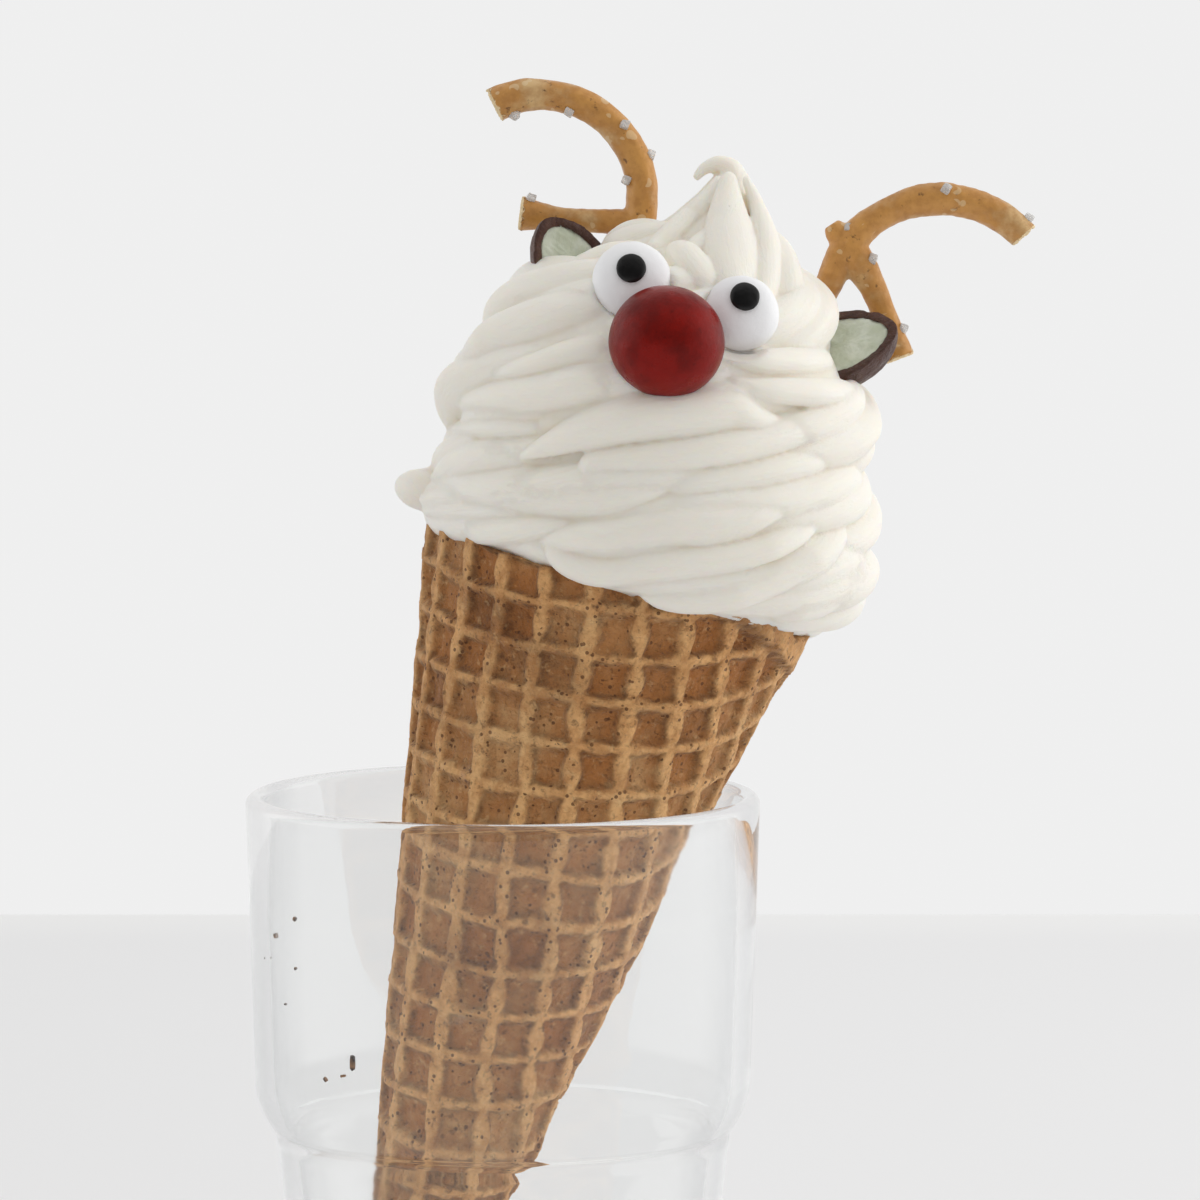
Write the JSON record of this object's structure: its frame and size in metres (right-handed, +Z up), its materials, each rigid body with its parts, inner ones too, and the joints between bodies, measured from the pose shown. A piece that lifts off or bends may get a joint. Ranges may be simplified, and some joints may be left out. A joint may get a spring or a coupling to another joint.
{
  "type": "soft serve cone",
  "caption": "Swirled soft serve in a waffle cone, with a ball nose, domed eyes, chocolate ears and pretzel antlers, standing in a glass tumbler.",
  "frame": {"origin": "centre of the glass's flat underside", "axes": "+Z up, +X to the right as seen from the face, -Y towards the viewer that the face looks at"},
  "size_m": [0.1315, 0.0903, 0.2432],
  "materials": {
    "clear_glass": "clear pressed glass, smooth",
    "wafer": "dry baked wafer with a pressed grid",
    "cream": "soft piped cream, satin",
    "red_candy": "sugar shell, dull shine",
    "white_candy": "smooth sugar icing",
    "black_candy": "smooth sugar icing",
    "pretzel": "baked crust with coarse salt",
    "chocolate": "chocolate shell, satin",
    "mint": "dry crumbly mint filling"
  },
  "bodies": {
    "root": {"tumbler": "clear_glass", "waffle_cone": "wafer", "soft_serve": "cream", "candy_nose": "red_candy", "eye_left": "white_candy", "eye_right": "white_candy", "pupil_left": "black_candy", "pupil_right": "black_candy", "antler_left": "pretzel", "antler_right": "pretzel", "ear_shell_left": "chocolate", "ear_shell_right": "chocolate", "ear_filling_left": "mint", "ear_filling_right": "mint"}
  },
  "joints": []
}
